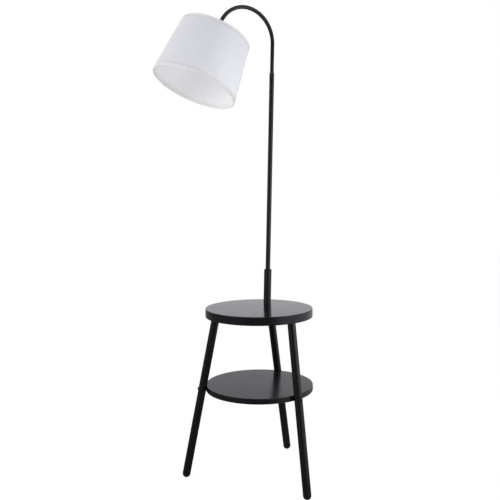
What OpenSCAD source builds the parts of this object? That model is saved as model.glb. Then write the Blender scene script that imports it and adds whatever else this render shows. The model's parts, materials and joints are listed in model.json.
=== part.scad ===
// Floor lamp with a round two-tier table.
// Three splayed round legs carry a thick table top and bed into the edge of a thinner
// lower shelf. A slim pole stands in a socket near the rim of the top, between the middle
// and the back leg. A bent arm turns in a liner at the top of the pole and carries the
// lampholder, which clamps the wire carrier of a tapered drum shade.
// Millimetres, +Z up. The origin is on the floor, below the middle of the lamp's outline
// seen from above, and the table's own axis stands a little to one side of it.

/* [Table] */
// Height of the table top's upper face
table_h = 560; // [480:5:640]
// Diameter of the table top
top_d = 350; // [320:5:420]
// Thickness of the table top
top_t = 27; // [24:1:34]
// Height of the lower shelf's upper face
shelf_h = 308; // [240:2:360]
// Thickness of the lower shelf
shelf_t = 18; // [16:1:24]
// Rounding of the board edges
edge_r = 1.5; // [0.5:0.25:3]

/* [Legs] */
// Diameter of each round leg
leg_d = 26; // [22:1:34]
// Distance from the rim of the top in to the middle of a leg
leg_inset = 31; // [24:1:40]
// Outward lean of each leg from upright, in degrees
leg_splay = 10.6; // [6:0.2:14]
// Sideways lean of each leg, which gives the stand its slight swirl, in degrees
leg_sway = 3.9; // [0:0.1:6]
// Direction of the first leg seen from above, in degrees
leg_azimuth = 194.4; // [180:0.2:210]
// Depth sanded flat off the round foot
foot_flat = 0.4; // [0.2:0.1:1]
// How deep each leg beds into the edge of the lower shelf
shelf_bed = 0.7; // [0.5:0.1:3]

/* [Leg fixings] */
// Diameter of the bolts through the legs into the shelf
bolt_d = 6; // [5:1:8]
// Diameter of the domed bolt heads
bolt_head_d = 13; // [11:0.5:14]
// Height of the domed bolt heads
bolt_head_h = 4.4; // [3:0.1:6]
// Depth of the flat seat cut into the leg for a bolt head
bolt_seat = 1.8; // [1:0.1:2.5]
// Width across the flats of the key socket in the bolt heads
bolt_key = 4; // [3:0.5:5]
// Length of the sleeve nuts in the edge of the shelf
shelf_nut_l = 20; // [15:1:28]
// Diameter of the sleeve nuts in the edge of the shelf
shelf_nut_d = 9; // [9:0.5:11]
// Diameter of the hanger bolts between the legs and the top
hanger_d = 8; // [6:1:10]
// Length of a hanger bolt inside the leg
hanger_leg_l = 36; // [25:1:50]
// Diameter of the threaded inserts in the top
insert_d = 12; // [11:0.5:14]
// Length of the threaded inserts in the top
insert_l = 13; // [10:0.5:15]

/* [Pole and socket] */
// Distance from the rim of the top in to the middle of the pole
pole_inset = 84.3; // [78:0.1:90]
// Direction of the pole seen from above, in degrees
pole_azimuth = 72; // [60:1:80]
// Lean of the pole away from the shade, in degrees
pole_lean = 1.75; // [0:0.05:3]
// Top end of the lower pole above the table, along the pole
pole_top = 767; // [650:1:850]
// Wall of the lower pole
pole_wall = 1; // [0.8:0.1:1.5]
// Height of the socket above the table
socket_h = 116; // [90:1:150]
// Wall of the socket tube
socket_wall = 1.5; // [1:0.1:2.5]
// Wall of the collar between the pole and the socket
collar_wall = 2.85; // [2:0.05:4]
// Radial clearance of the collar in the socket
collar_play = 0.2; // [0.15:0.05:0.4]
// Depth of the collar inside the socket
collar_l = 18; // [12:1:30]
// Thickness of the collar's rim
collar_rim = 2; // [1.5:0.1:3]
// Thickness of the socket's floor
socket_floor = 4; // [3:0.5:6]
// Depth of the socket's seat in the table
socket_seat = 1; // [0.5:0.1:2]
// Diameter of the hollow threaded stem that passes through the table
stem_d = 10; // [9:0.5:11]
// Diameter of the cable passage through the stem
stem_bore_d = 7; // [6.6:0.1:7.4]
// Depth of the nut's pocket in the underside of the top
nut_pocket = 9; // [8:0.5:11]
// Diameter of the washer under the table
washer_d = 28; // [24:1:32]
// Thickness of the washer under the table
washer_t = 1.5; // [1:0.1:2.5]
// Width across the flats of the nut under the table
nut_af = 14; // [13:0.5:17]
// Height of the nut under the table
nut_h = 4; // [3:0.5:6]

/* [Arm] */
// Diameter of the bent arm tube
arm_d = 12.5; // [12:0.1:14]
// Wall of the arm tube
arm_wall = 1; // [0.8:0.1:1.2]
// Length of the arm inside the lower pole
arm_insert = 60; // [40:1:90]
// Wall of the liner that the arm turns in
liner_wall = 0.5; // [0.4:0.1:1.5]
// Thickness of the liner's rim and of its stop lip
liner_rim = 1; // [0.8:0.1:2]
// Start of the bend above the table, along the pole
bend_start = 862.5; // [820:0.5:900]
// Radius of the bend, to the middle of the tube
bend_r = 103; // [90:1:115]
// Angle that the tube is bent through, in degrees
bend_sweep = 156.5; // [140:0.5:165]
// Straight length of the arm after the bend
arm_tail = 26; // [15:1:40]
// Direction that the arm points in seen from above, in degrees
arm_azimuth = 212.4; // [180:0.2:240]

/* [Lampholder] */
// Diameter of the threaded skirt of the lampholder
skirt_d = 38.6; // [38:0.1:40]
// Height of the lampholder's cap
cap_h = 26; // [22:1:32]
// Height of the lampholder's body below its shoulder
skirt_l = 32; // [28:1:40]
// Inside diameter of the screw shell for the bulb
shell_bore_d = 26.8; // [26.6:0.1:27.2]
// Depth of the screw shell
shell_l = 22; // [19:1:25]
// Wall of the screw shell
shell_wall = 0.6; // [0.4:0.1:1]
// Height of the ring that clamps the shade's carrier
clamp_h = 9; // [6:0.5:14]
// Diameter of the ring that clamps the shade's carrier
clamp_d = 52; // [48:1:54]

/* [Shade] */
// Outside diameter of the shade at its upper edge
shade_top_d = 229; // [200:1:260]
// Outside diameter of the shade at its lower edge
shade_bottom_d = 273; // [250:1:310]
// Height of the shade along its own axis
shade_h = 189; // [160:0.5:220]
// Thickness of the laminated shade cover
shade_wall = 0.9; // [0.6:0.1:2]
// Width of the turned-over hems at both edges
hem_w = 9; // [6:0.5:14]
// Extra thickness of the hems outside
hem_t = 0.3; // [0.2:0.1:0.8]
// Diameter of the shade's wire rings and spokes
wire_d = 3; // [2:0.1:4]
// How far the carrier's hub lies below the shade's upper edge
spider_drop = 14; // [10:1:24]
// Number of spokes on the carrier
spoke_n = 3; // [3:1:5]
// Thickness of the carrier's pressed hub
hub_t = 1.6; // [1:0.1:2.5]

/* [Fits] */
// Radial clearance where one piece is fixed inside another
fit = 0.1; // [0.05:0.01:0.2]
// Radial running clearance of the arm in its liner
run_fit = 0.05; // [0.02:0.01:0.1]
// Diameter of the lead inside the pole
lead_d = 6; // [5:0.1:6.4]

/* [Hidden] */
$fn = 96;

BLACK = "#1b1b1d";
SATIN_BLACK = "#232326";
STEEL = "#9a9ca0";
BRASS = "#b8974a";
PORCELAIN = "#e6e3da";
SHADE_WHITE = "#eceae4";

// Where the table's axis stands, so that the whole lamp is centred on the origin
stand_at = [74, -13, 0];

// Legs. An axis runs through the middle of each leg and meets the underside of the top
// at leg_top_r. on_leg() has its origin there and its z axis up along the leg.
underside = table_h - top_t;
leg_r = leg_d / 2;
leg_top_r = top_d / 2 - leg_inset;
leg_tilt = [-atan(tan(leg_sway) * cos(leg_splay)), -leg_splay, 0];
leg_cos = cos(leg_tilt[0]) * cos(leg_tilt[1]);
leg_drop = underside - (leg_r - foot_flat);
leg_axis_l = leg_drop / leg_cos;
leg_top_over = leg_r;

// Shelf. Where a leg's axis crosses the middle of the shelf, and how far its skin lies
// from that axis on the way in to the centre. The shelf reaches just past that skin.
shelf_mid = shelf_h - shelf_t / 2;
cross_drop = underside - shelf_mid;
cross_out = leg_top_r + tan(leg_splay) * cross_drop;
cross_side = -tan(leg_sway) * cross_drop;
cross_r = norm([cross_out, cross_side]);
cross_turn = atan2(cross_side, cross_out);
leg_axis = [-tan(leg_splay), tan(leg_sway), 1];
leg_axis_unit = leg_axis / norm(leg_axis);
inward_part = leg_axis_unit * [cos(cross_turn), sin(cross_turn), 0];
leg_skin = leg_r / sqrt(1 - inward_part * inward_part);
shelf_r = cross_r - leg_skin + shelf_bed;

// Shelf bolts, along the radius through each leg's axis, with z pointing outwards
head_seat = leg_skin - bolt_seat;
nut_mouth = -(leg_skin + 1);
nut_end = nut_mouth - shelf_nut_l;
bolt_end = nut_mouth - shelf_nut_l * 0.75;
insert_start = insert_d / 2 * tan(acos(leg_cos)) + 0.5;
hanger_top_l = insert_start + insert_l - 1;

// Tubes, from the arm outwards: each bore is the piece inside it plus its clearance
arm_bore = arm_d - 2 * arm_wall;
liner_bore = arm_d + 2 * run_fit;
pole_bore = liner_bore + 2 * (liner_wall + fit);
pole_d = pole_bore + 2 * pole_wall;
collar_bore = pole_d + 2 * fit;
socket_bore = collar_bore + 2 * (collar_wall + collar_play);
socket_d = socket_bore + 2 * socket_wall;
pole_r = top_d / 2 - pole_inset;
plug_flange = 2;
plug_l = 20;
pole_bottom = socket_floor - socket_seat + plug_flange;
washer_seat = -(top_t - nut_pocket);
stem_end = -(top_t - 1);
thread_d = stem_d + 2 * fit;
// The outlet bush covers the end of the stem and reaches up to the nut
bush_rim = 2;
bush_r = stem_d / 2 + 2;
bush_l = washer_seat - washer_t - nut_h - stem_end + bush_rim;

// Lampholder, measured along the arm's end axis from the end of the tube
plug_rim = 1;
end_stem_l = 10;
end_plug_l = 12;
shoulder_t = 3;
shoulder = plug_rim + cap_h + shoulder_t;
shoulder_d = skirt_d + 5;
cap_r = skirt_d / 2;
cap_neck_r = stem_d / 2 + 4;
cap_wall = 2.2;
neck_h = 6;
hub_d = clamp_d + 8;
shade_start = arm_tail + shoulder - spider_drop;
core_d = shell_bore_d + 2 * shell_wall + 1.4;
core_top = shoulder - 15;
shell_top = shoulder - 1;
contact_h = 3.6;
// The two terminals stand either side of the axis
screw_x = core_d / 2 - 4.5;
screw_y = -3;
wire_hole_x = core_d / 2 - 6;
wire_hole_y = 3.5;
wire_hole_l = 8;
screw_d = 3;
screw_l = 9;
screw_head_d = 5;
screw_head_h = 2;
screw_slot_w = 0.8;
contact_pocket = 4;
contact_pocket_d = 12;
contact_t = 0.8;
core_wire_d = 1.8;
core_wire_z = plug_rim + end_stem_l + 2;

// Shade, measured along its own axis from its upper edge
shade_top_r = shade_top_d / 2 - hem_t;
shade_bottom_r = shade_bottom_d / 2 - hem_t;
shade_slope = (shade_bottom_r - shade_top_r) / shade_h;
wire_r = wire_d / 2;
spoke_d = wire_d - 0.2;
lip_w = wire_d + shade_wall;
top_ring_z = shade_wall + wire_r;
bottom_ring_z = shade_h - shade_wall - wire_r;

// The bend and the straight tail share a seam. The tail starts this far inside the bend
// and is this much thicker, so that the two skins never coincide.
seam = 0.2;
seam_skin = 0.01;
cut = 1;

// ---------------------------------------------------------------- shared shapes

// A round board with rounded upper and lower edges
module round_board(r, t, e)
    rotate_extrude() {
        square([r - e, t]);
        translate([0, e]) square([r, t - 2 * e]);
        translate([r - e, e]) circle(e, $fn = 32);
        translate([r - e, t - e]) circle(e, $fn = 32);
    }

// A ring or a tube with square ends
module tube(outer, inner, h)
    difference() {
        cylinder(d = outer, h = h);
        translate([0, 0, -cut]) cylinder(d = inner, h = h + 2 * cut);
    }

// A straight round bar between two points
module rod(a, b, d) {
    v = b - a;
    translate(a)
        rotate([0, acos(v[2] / norm(v)), atan2(v[1], v[0])])
            cylinder(d = d, h = norm(v), $fn = 32);
}

// A wire bent into a closed ring, lying at height z
module wire_ring(r, d, z)
    translate([0, 0, z]) rotate_extrude() translate([r, 0]) circle(d = d, $fn = 24);

// A shape given by its outline, as [radius, height] points, turned about the z axis
module turned(points) rotate_extrude() polygon(points);

// ---------------------------------------------------------------- where things go

// Leg number k: origin on the underside of the top, z up along the leg
module on_leg(k)
    translate(stand_at) rotate([0, 0, leg_azimuth + 120 * k])
        translate([leg_top_r, 0, underside])
            rotate(leg_tilt) children();

// Where leg number k crosses the shelf: z points outwards along the shelf's radius
module on_crossing(k)
    translate(stand_at) rotate([0, 0, leg_azimuth + 120 * k + cross_turn])
        translate([cross_r, 0, shelf_mid])
            rotate([0, 90, 0]) children();

// The pole: origin in the top's upper face, z up along the pole, x towards the arm
module on_pole()
    translate(stand_at) rotate([0, 0, pole_azimuth])
        translate([pole_r, 0, table_h])
            rotate([0, 0, arm_azimuth - pole_azimuth])
                rotate([0, -pole_lean, 0]) children();

// The end of the bend: z along the arm, towards the shade
module on_bend_end()
    on_pole()
        translate([bend_r, 0, bend_start])
            rotate([0, bend_sweep, 0])
                translate([-bend_r, 0, 0]) children();

// The end of the arm tube, for the lampholder
module on_arm_end() on_bend_end() translate([0, 0, arm_tail]) children();

// The shade's upper edge, z down along the shade's axis
module on_shade() on_bend_end() translate([0, 0, shade_start]) children();

// ---------------------------------------------------------------- table and legs

module leg_bar(k)
    on_leg(k) {
        translate([0, 0, -leg_axis_l]) cylinder(d = leg_d, h = leg_axis_l + leg_top_over);
        translate([0, 0, -leg_axis_l]) sphere(d = leg_d);
    }

module leg(k)
    color(BLACK) difference() {
        leg_bar(k);
        // The top end is cut flush with the underside of the table
        translate([0, 0, underside]) cylinder(r = 2 * top_d, h = 4 * leg_d);
        // The dome of the foot is sanded flat where it stands
        translate([0, 0, -leg_d]) cylinder(r = 2 * top_d, h = leg_d);
        on_leg(k) translate([0, 0, -hanger_leg_l - cut])
            cylinder(d = hanger_d + 2 * fit, h = hanger_leg_l + leg_r + cut);
        on_crossing(k) {
            translate([0, 0, -leg_d]) cylinder(d = bolt_d + 4 * fit, h = 2 * leg_d);
            translate([0, 0, head_seat]) cylinder(d = bolt_head_d + 4 * fit, h = leg_d);
        }
    }

module leg_left() leg(0);
module leg_right() leg(1);
module leg_back() leg(2);

module table_top()
    color(BLACK) difference() {
        translate(stand_at + [0, 0, underside]) round_board(top_d / 2, top_t, edge_r);
        for (k = [0 : 2])
            on_leg(k) translate([0, 0, -leg_r])
                cylinder(d = insert_d + 2 * fit, h = leg_r + insert_start + insert_l + fit);
        // All the cuts for the pole share its leaning axis
        on_pole() {
            translate([0, 0, -socket_seat]) cylinder(d = socket_d + 2 * fit, h = top_t);
            translate([0, 0, -2 * top_t]) cylinder(d = thread_d, h = 3 * top_t);
            translate([0, 0, -3 * top_t])
                cylinder(d = washer_d + 2, h = 3 * top_t + washer_seat);
        }
    }

module lower_shelf()
    color(BLACK) difference() {
        translate(stand_at + [0, 0, shelf_h - shelf_t]) round_board(shelf_r, shelf_t, edge_r);
        for (k = [0 : 2]) {
            // A shallow hollow in the edge seats the leg
            on_leg(k) translate([0, 0, -leg_axis_l])
                cylinder(d = leg_d + 2 * fit, h = leg_axis_l);
            on_crossing(k) translate([0, 0, nut_end - 2])
                cylinder(d = shelf_nut_d + 2 * fit, h = leg_r - nut_end);
        }
    }

module leg_hanger_bolts()
    color(STEEL) for (k = [0 : 2]) on_leg(k)
        // A headless stud, chamfered at both ends
        turned([[0, -hanger_leg_l], [hanger_d / 2 - 1, -hanger_leg_l],
                [hanger_d / 2, -hanger_leg_l + 1], [hanger_d / 2, hanger_top_l - 1],
                [hanger_d / 2 - 1, hanger_top_l], [0, hanger_top_l]]);

module leg_inserts()
    color(BRASS) for (k = [0 : 2]) on_leg(k) translate([0, 0, insert_start])
        difference() {
            union() {
                cylinder(d = insert_d - 1.2, h = insert_l);
                for (n = [0 : 2]) translate([0, 0, (n + 0.2) * insert_l / 3])
                    cylinder(d = insert_d, h = insert_l / 6);
            }
            translate([0, 0, -cut]) cylinder(d = hanger_d + 2 * fit, h = insert_l + 2 * cut);
        }

module shelf_bolts()
    color(SATIN_BLACK) for (k = [0 : 2]) on_crossing(k) difference() {
        union() {
            translate([0, 0, bolt_end]) cylinder(d = bolt_d, h = head_seat - bolt_end + cut);
            // The head is a low dome on a short straight rim
            intersection() {
                translate([0, 0, head_seat]) cylinder(d = bolt_head_d, h = bolt_head_h);
                translate([0, 0, head_seat + bolt_head_h - dome_r()]) sphere(r = dome_r());
            }
        }
        translate([0, 0, head_seat + bolt_head_h * 0.4])
            cylinder(d = bolt_key / cos(30), h = bolt_head_h, $fn = 6);
    }

// Radius of the sphere whose cap is the bolt head's dome, over a rim a third as high
function dome_r() =
    let (rise = bolt_head_h * 2 / 3, half = bolt_head_d / 2)
        (half * half + rise * rise) / (2 * rise);

module shelf_sleeve_nuts()
    color(BRASS) for (k = [0 : 2]) on_crossing(k) translate([0, 0, nut_end])
        difference() {
            union() {
                cylinder(d = shelf_nut_d - 1, h = shelf_nut_l);
                for (n = [0 : 3])
                    translate([0, 0, n * shelf_nut_l / 4]) cylinder(d = shelf_nut_d, h = shelf_nut_l / 8);
            }
            translate([0, 0, 2]) cylinder(d = bolt_d + 2 * fit, h = shelf_nut_l);
        }

// ---------------------------------------------------------------- socket and pole

module pole_socket()
    color(SATIN_BLACK) on_pole() difference() {
        translate([0, 0, -socket_seat])
            cylinder(d = socket_d, h = socket_h - collar_rim + socket_seat);
        translate([0, 0, socket_floor - socket_seat]) cylinder(d = socket_bore, h = socket_h);
        translate([0, 0, -socket_seat - cut]) cylinder(d = thread_d, h = socket_floor + 2 * cut);
    }

module socket_collar()
    color(SATIN_BLACK) on_pole() difference() {
        union() {
            translate([0, 0, socket_h - collar_rim - collar_l])
                cylinder(d = socket_bore - 2 * collar_play, h = collar_l + collar_rim / 2);
            // The rim closes the socket, its upper edge rounded
            translate([0, 0, socket_h - collar_rim]) rotate_extrude() {
                e = collar_rim * 0.45;
                square([socket_d / 2 - e, collar_rim]);
                square([socket_d / 2, collar_rim - e]);
                translate([socket_d / 2 - e, collar_rim - e]) circle(e, $fn = 32);
            }
        }
        translate([0, 0, socket_h - collar_l - 2 * collar_rim])
            cylinder(d = collar_bore, h = collar_l + 4 * collar_rim);
    }

module lower_pole()
    color(SATIN_BLACK) on_pole()
        translate([0, 0, pole_bottom]) tube(pole_d, pole_bore, pole_top - pole_bottom);

module pole_foot_plug()
    color(STEEL) on_pole() difference() {
        union() {
            translate([0, 0, pole_bottom]) cylinder(d = pole_bore - 2 * fit, h = plug_l);
            translate([0, 0, pole_bottom - plug_flange]) cylinder(d = pole_d, h = plug_flange);
            translate([0, 0, stem_end]) cylinder(d = stem_d, h = pole_bottom - stem_end);
        }
        translate([0, 0, stem_end - cut])
            cylinder(d = stem_bore_d, h = pole_bottom + plug_l - stem_end + 2 * cut);
    }

module table_washer()
    color(STEEL) on_pole()
        translate([0, 0, washer_seat - washer_t]) tube(washer_d, thread_d, washer_t);

module table_nut()
    color(STEEL) on_pole() translate([0, 0, washer_seat - washer_t - nut_h]) difference() {
        cylinder(d = nut_af / cos(30), h = nut_h, $fn = 6);
        translate([0, 0, -cut]) cylinder(d = thread_d, h = nut_h + 2 * cut);
    }

module cable_outlet_bush()
    color(SATIN_BLACK) on_pole() translate([0, 0, stem_end - bush_rim]) difference() {
        turned([[lead_d / 2 + fit, 0], [bush_r - 1, 0], [bush_r, 1],
                [bush_r, bush_l], [lead_d / 2 + fit, bush_l]]);
        translate([0, 0, bush_rim]) cylinder(d = thread_d, h = bush_l);
    }

module swivel_liner()
    color(BLACK) on_pole() translate([0, 0, pole_top]) difference() {
        union() {
            cylinder(d = pole_d, h = liner_rim);
            translate([0, 0, -arm_insert - liner_rim])
                cylinder(d = pole_bore - 2 * fit, h = arm_insert + 2 * liner_rim);
        }
        translate([0, 0, -arm_insert]) cylinder(d = liner_bore, h = arm_insert + 2 * liner_rim);
        // The arm stands on the lip that this smaller hole leaves
        translate([0, 0, -arm_insert - 2 * liner_rim])
            cylinder(d = arm_bore - 1, h = arm_insert);
    }

// ---------------------------------------------------------------- arm

module bent_arm()
    color(SATIN_BLACK) {
        on_pole() {
            translate([0, 0, pole_top - arm_insert])
                tube(arm_d, arm_bore, bend_start - pole_top + arm_insert);
            translate([bend_r, 0, bend_start]) rotate([90, 0, 180])
                rotate_extrude(angle = bend_sweep) translate([bend_r, 0]) difference() {
                    circle(d = arm_d);
                    circle(d = arm_bore);
                }
        }
        on_bend_end() translate([0, 0, -seam])
            tube(arm_d + seam_skin, arm_bore - seam_skin, arm_tail + seam);
    }

module arm_end_plug()
    color(STEEL) on_arm_end() difference() {
        union() {
            translate([0, 0, -end_plug_l]) cylinder(d = arm_bore - 2 * fit, h = end_plug_l + cut / 2);
            cylinder(d = arm_d, h = plug_rim);
            cylinder(d = stem_d, h = plug_rim + end_stem_l);
        }
        translate([0, 0, -end_plug_l - cut])
            cylinder(d = stem_bore_d, h = end_plug_l + plug_rim + end_stem_l + 2 * cut);
    }

module inner_lead()
    color("#d8d8d8") {
        on_pole() {
            translate([0, 0, stem_end - bush_rim])
                cylinder(d = lead_d, h = bend_start - stem_end + bush_rim);
            translate([bend_r, 0, bend_start]) rotate([90, 0, 180])
                rotate_extrude(angle = bend_sweep) translate([bend_r, 0]) circle(d = lead_d);
        }
        on_bend_end() translate([0, 0, -seam])
            cylinder(d = lead_d + seam_skin, h = arm_tail + core_wire_z + 0.5 + seam);
        // Two cores leave the sheath and turn down into the terminals
        on_arm_end() for (side = [-1, 1]) {
            turn = [side * wire_hole_x, wire_hole_y, core_wire_z];
            rod([side * lead_d / 5, 0, core_wire_z], turn, core_wire_d);
            translate(turn) sphere(d = core_wire_d + 0.2, $fn = 32);
            rod(turn, turn + [0, 0, 7], core_wire_d);
        }
    }

// ---------------------------------------------------------------- lampholder

module holder_cap()
    color(BLACK) on_arm_end() translate([0, 0, plug_rim]) difference() {
        // A neck for the thread, a bell and a straight rim
        turned([[0, 0], [cap_neck_r - 1, 0], [cap_neck_r, 1], [cap_neck_r, 5],
                [cap_r - 5, 9], [cap_r - 2, 11.5], [cap_r - 0.6, 15],
                [cap_r, 19], [cap_r, cap_h], [0, cap_h]]);
        turned([[0, 8], [cap_r - 6.4, 10.5], [cap_r - 4, 13], [cap_r - cap_wall - 0.6, 16],
                [cap_r - cap_wall, 19], [cap_r - cap_wall, cap_h + cut], [0, cap_h + cut]]);
        translate([0, 0, -cut]) cylinder(d = thread_d, h = cap_h);
    }

module holder_body()
    color(BLACK) on_arm_end() difference() {
        union() {
            // The neck screws up into the cap, and the shoulder seats the carrier
            translate([0, 0, shoulder - shoulder_t - neck_h])
                cylinder(r = cap_r - cap_wall - fit, h = neck_h + cut);
            translate([0, 0, shoulder - shoulder_t]) cylinder(d = shoulder_d, h = shoulder_t);
            translate([0, 0, shoulder - cut]) cylinder(d = skirt_d, h = skirt_l + cut);
        }
        // The core rests on the ledge between the two bores
        translate([0, 0, core_top]) cylinder(d = core_d + 2 * fit, h = shell_top - core_top);
        translate([0, 0, core_top])
            cylinder(d = shell_bore_d + 2 * shell_wall + 2 * fit, h = skirt_l + shoulder);
    }

module holder_core()
    color(PORCELAIN) on_arm_end() difference() {
        translate([0, 0, core_top]) cylinder(d = core_d, h = shell_top - core_top);
        // Wire holes and screw holes of the two terminals, and the pocket of the contact
        for (side = [-1, 1]) {
            translate([side * wire_hole_x, wire_hole_y, core_top - cut])
                cylinder(d = core_wire_d + 4 * fit, h = wire_hole_l + cut, $fn = 32);
            translate([side * screw_x, screw_y, core_top - cut])
                cylinder(d = screw_d + 2 * fit, h = screw_l + cut, $fn = 32);
        }
        translate([0, 0, shell_top - contact_pocket])
            cylinder(d = contact_pocket_d, h = contact_pocket + cut);
    }

module terminal_screws()
    color(BRASS) on_arm_end() for (side = [-1, 1])
        translate([side * screw_x, screw_y, core_top]) difference() {
            union() {
                translate([0, 0, -screw_head_h])
                    cylinder(d = screw_head_d, h = screw_head_h, $fn = 48);
                translate([0, 0, -cut]) cylinder(d = screw_d, h = screw_l, $fn = 32);
            }
            translate([-screw_head_d, -screw_slot_w / 2, -screw_head_h - cut])
                cube([2 * screw_head_d, screw_slot_w, screw_head_h * 0.45 + cut]);
        }

module screw_shell()
    color(BRASS) on_arm_end() translate([0, 0, shell_top]) difference() {
        cylinder(d = shell_bore_d + 2 * shell_wall, h = shell_l);
        translate([0, 0, shell_wall]) cylinder(d = shell_bore_d, h = shell_l);
        translate([0, 0, -cut]) cylinder(d = 14, h = 2 * cut + shell_wall);
    }

module centre_contact()
    color(BRASS) on_arm_end() {
        translate([0, 0, shell_top - contact_pocket])
            cylinder(d = contact_pocket_d - 2, h = contact_t);
        // A bent leaf rises from the disc to touch the bulb
        translate([0, 0, shell_top - contact_pocket + contact_t]) rotate([90, 0, 0])
            linear_extrude(5, center = true)
                polygon([[-3.5, -0.2], [3.5, -0.2], [3.5, 0.4], [0.5, contact_h], [-3.5, contact_h],
                         [-3.5, contact_h - 0.6], [0.1, contact_h - 0.6], [2.7, 0.5], [-3.5, 0.5]]);
    }

module shade_clamp_ring()
    color(BLACK) on_arm_end() translate([0, 0, shoulder + hub_t]) difference() {
        union() {
            cylinder(d = clamp_d, h = 2.5);
            cylinder(d = clamp_d - 4, h = clamp_h);
            // Finger ribs round the ring
            for (a = [0 : 15 : 345]) rotate([0, 0, a])
                translate([clamp_d / 2 - 2, 0, 0]) cylinder(d = 2.4, h = clamp_h, $fn = 16);
        }
        translate([0, 0, -cut]) cylinder(d = skirt_d + 2 * fit, h = clamp_h + 2 * cut);
    }

// ---------------------------------------------------------------- shade

// Inside radius of the shade's cover at depth z
function cover_inner_r(z) = shade_top_r + shade_slope * z - shade_wall;

module shade_cover()
    color(SHADE_WHITE) on_shade() turned([
        // Outside: turned-over hem, cover, turned-over hem
        [shade_top_r + hem_t, 0],
        [shade_top_r + hem_t + shade_slope * hem_w, hem_w],
        [shade_top_r + shade_slope * hem_w, hem_w + hem_t],
        [shade_bottom_r - shade_slope * hem_w, shade_h - hem_w - hem_t],
        [shade_bottom_r + hem_t - shade_slope * hem_w, shade_h - hem_w],
        [shade_bottom_r + hem_t, shade_h],
        // The lower lip wraps under the wire ring
        [shade_bottom_r - lip_w, shade_h],
        [shade_bottom_r - lip_w, shade_h - shade_wall],
        [cover_inner_r(shade_h - shade_wall), shade_h - shade_wall],
        // Inside, and the upper lip over the carrier's ring
        [cover_inner_r(shade_wall), shade_wall],
        [shade_top_r - lip_w, shade_wall],
        [shade_top_r - lip_w, 0]]);

module shade_bottom_ring()
    color(STEEL) on_shade()
        wire_ring(cover_inner_r(bottom_ring_z) - wire_r - fit, wire_d, bottom_ring_z);

module shade_carrier()
    color(STEEL) on_shade() {
        ring_r = cover_inner_r(top_ring_z) - wire_r - fit;
        wire_ring(ring_r, wire_d, top_ring_z);
        translate([0, 0, spider_drop]) tube(hub_d, skirt_d + 2 * fit, hub_t);
        for (k = [0 : spoke_n - 1]) rotate([0, 0, 360 / spoke_n * k + 30])
            rod([hub_d / 2 - 2, 0, spider_drop - wire_r + 0.5], [ring_r, 0, top_ring_z], spoke_d);
    }

// ---------------------------------------------------------------- the object

table_top();
lower_shelf();
leg_left();
leg_right();
leg_back();
leg_hanger_bolts();
leg_inserts();
shelf_bolts();
shelf_sleeve_nuts();
pole_socket();
socket_collar();
lower_pole();
pole_foot_plug();
table_washer();
table_nut();
cable_outlet_bush();
swivel_liner();
bent_arm();
arm_end_plug();
inner_lead();
holder_cap();
holder_body();
holder_core();
terminal_screws();
screw_shell();
centre_contact();
shade_clamp_ring();
shade_carrier();
shade_bottom_ring();
shade_cover();
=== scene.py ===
# %% [markdown]
# # A floor lamp with a two-tier table
#
# This notebook dresses a measured model. The frame holds every solid of the lamp in real
# metres: boards, legs, pole, arm, lampholder and shade. We keep the solids whose shape is
# already right, give each of them a finish made from nodes, and build in mesh code what a
# plain solid can't show, such as the cloth of the shade and the threads of the lampholder.
# The work goes in a studio's order: the camera, the finishes, the shade, the small turned
# pieces, and at the end the room with its lamps.

# %% Load the measured frame
import json
import math

import bpy
import numpy as np
from mathutils import Euler, Matrix, Vector

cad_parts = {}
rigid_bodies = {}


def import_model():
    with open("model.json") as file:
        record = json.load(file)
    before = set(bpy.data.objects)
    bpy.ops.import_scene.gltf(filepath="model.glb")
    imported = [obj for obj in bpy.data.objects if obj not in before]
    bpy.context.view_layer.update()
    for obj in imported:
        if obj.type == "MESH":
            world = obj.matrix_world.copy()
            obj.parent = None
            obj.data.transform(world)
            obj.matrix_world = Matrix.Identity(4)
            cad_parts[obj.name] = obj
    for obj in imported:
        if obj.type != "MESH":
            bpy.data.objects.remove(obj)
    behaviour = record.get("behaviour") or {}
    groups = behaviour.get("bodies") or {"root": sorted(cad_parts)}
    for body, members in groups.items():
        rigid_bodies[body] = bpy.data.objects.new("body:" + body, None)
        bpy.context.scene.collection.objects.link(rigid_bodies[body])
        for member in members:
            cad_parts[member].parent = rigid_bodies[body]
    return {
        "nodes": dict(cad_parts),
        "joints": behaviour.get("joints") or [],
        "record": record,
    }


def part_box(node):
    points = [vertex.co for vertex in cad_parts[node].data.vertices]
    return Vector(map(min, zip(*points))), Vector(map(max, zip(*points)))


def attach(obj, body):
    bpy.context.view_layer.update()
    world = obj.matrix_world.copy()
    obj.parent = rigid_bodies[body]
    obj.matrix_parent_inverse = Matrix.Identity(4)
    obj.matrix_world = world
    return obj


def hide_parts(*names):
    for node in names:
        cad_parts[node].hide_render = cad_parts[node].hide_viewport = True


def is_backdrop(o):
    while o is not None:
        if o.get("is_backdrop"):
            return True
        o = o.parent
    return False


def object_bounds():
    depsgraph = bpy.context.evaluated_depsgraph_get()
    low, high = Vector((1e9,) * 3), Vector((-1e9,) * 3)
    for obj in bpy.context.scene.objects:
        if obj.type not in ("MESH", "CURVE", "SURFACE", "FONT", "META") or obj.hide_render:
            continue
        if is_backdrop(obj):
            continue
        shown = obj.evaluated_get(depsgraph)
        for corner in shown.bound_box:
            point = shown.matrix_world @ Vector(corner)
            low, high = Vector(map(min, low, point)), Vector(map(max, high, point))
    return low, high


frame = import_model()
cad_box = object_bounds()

mm = 0.001
nodes = frame["nodes"]
print("solids in the frame:", len(nodes))

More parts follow.
